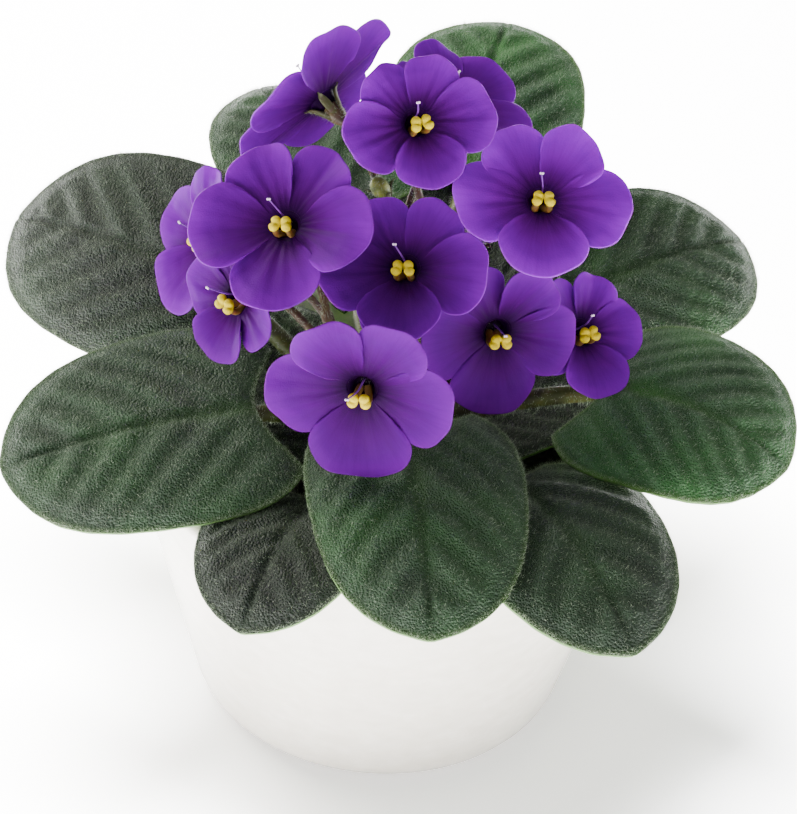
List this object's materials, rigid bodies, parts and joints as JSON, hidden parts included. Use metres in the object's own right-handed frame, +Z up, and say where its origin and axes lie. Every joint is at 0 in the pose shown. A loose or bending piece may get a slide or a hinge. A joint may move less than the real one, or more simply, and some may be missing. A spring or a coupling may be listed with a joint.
{
  "type": "potted african violet",
  "caption": "Flowering african violet in a plain round white ceramic pot, with a rosette of broad hairy leaves and a dome of violet flowers.",
  "frame": {"origin": "centre of the pot's flat base, on the surface it stands on", "axes": "+Z up along the pot's axis; -Y is the plant's front, where the flowers mostly face; +X is the viewer's right from the front"},
  "size_m": [0.2014, 0.1974, 0.1729],
  "materials": {
    "glazed_ceramic": "gloss",
    "potting_soil": "matte",
    "crown_green": "matte",
    "leaf_green": "matte",
    "petal_violet": "satin",
    "anther_yellow": "matte",
    "style_purple": "satin",
    "stalk_brown_green": "matte",
    "bud_green": "matte",
    "bud_violet": "matte"
  },
  "bodies": {
    "root": {"pot": "glazed_ceramic", "soil": "potting_soil", "crown": "crown_green", "leaf_01": "leaf_green", "leaf_02": "leaf_green", "leaf_03": "leaf_green", "leaf_04": "leaf_green", "leaf_05": "leaf_green", "leaf_06": "leaf_green", "leaf_07": "leaf_green", "leaf_08": "leaf_green", "leaf_09": "leaf_green", "leaf_10": "leaf_green", "leaf_11": "leaf_green", "corolla_01": "petal_violet", "corolla_02": "petal_violet", "corolla_03": "petal_violet", "corolla_04": "petal_violet", "corolla_05": "petal_violet", "corolla_06": "petal_violet", "corolla_07": "petal_violet", "corolla_08": "petal_violet", "corolla_09": "petal_violet", "corolla_10": "petal_violet", "corolla_11": "petal_violet", "stamens_01": "anther_yellow", "stamens_02": "anther_yellow", "stamens_03": "anther_yellow", "stamens_04": "anther_yellow", "stamens_05": "anther_yellow", "stamens_06": "anther_yellow", "stamens_07": "anther_yellow", "stamens_08": "anther_yellow", "stamens_09": "anther_yellow", "stamens_10": "anther_yellow", "stamens_11": "anther_yellow", "pistil_01": "style_purple", "pistil_02": "style_purple", "pistil_03": "style_purple", "pistil_04": "style_purple", "pistil_05": "style_purple", "pistil_06": "style_purple", "pistil_07": "style_purple", "pistil_08": "style_purple", "pistil_09": "style_purple", "pistil_10": "style_purple", "pistil_11": "style_purple", "flower_stalk_01": "stalk_brown_green", "flower_stalk_02": "stalk_brown_green", "flower_stalk_03": "stalk_brown_green", "flower_stalk_04": "stalk_brown_green", "flower_stalk_05": "stalk_brown_green", "flower_stalk_06": "stalk_brown_green", "bud_01": "bud_green", "bud_02": "bud_violet"}
  },
  "joints": []
}
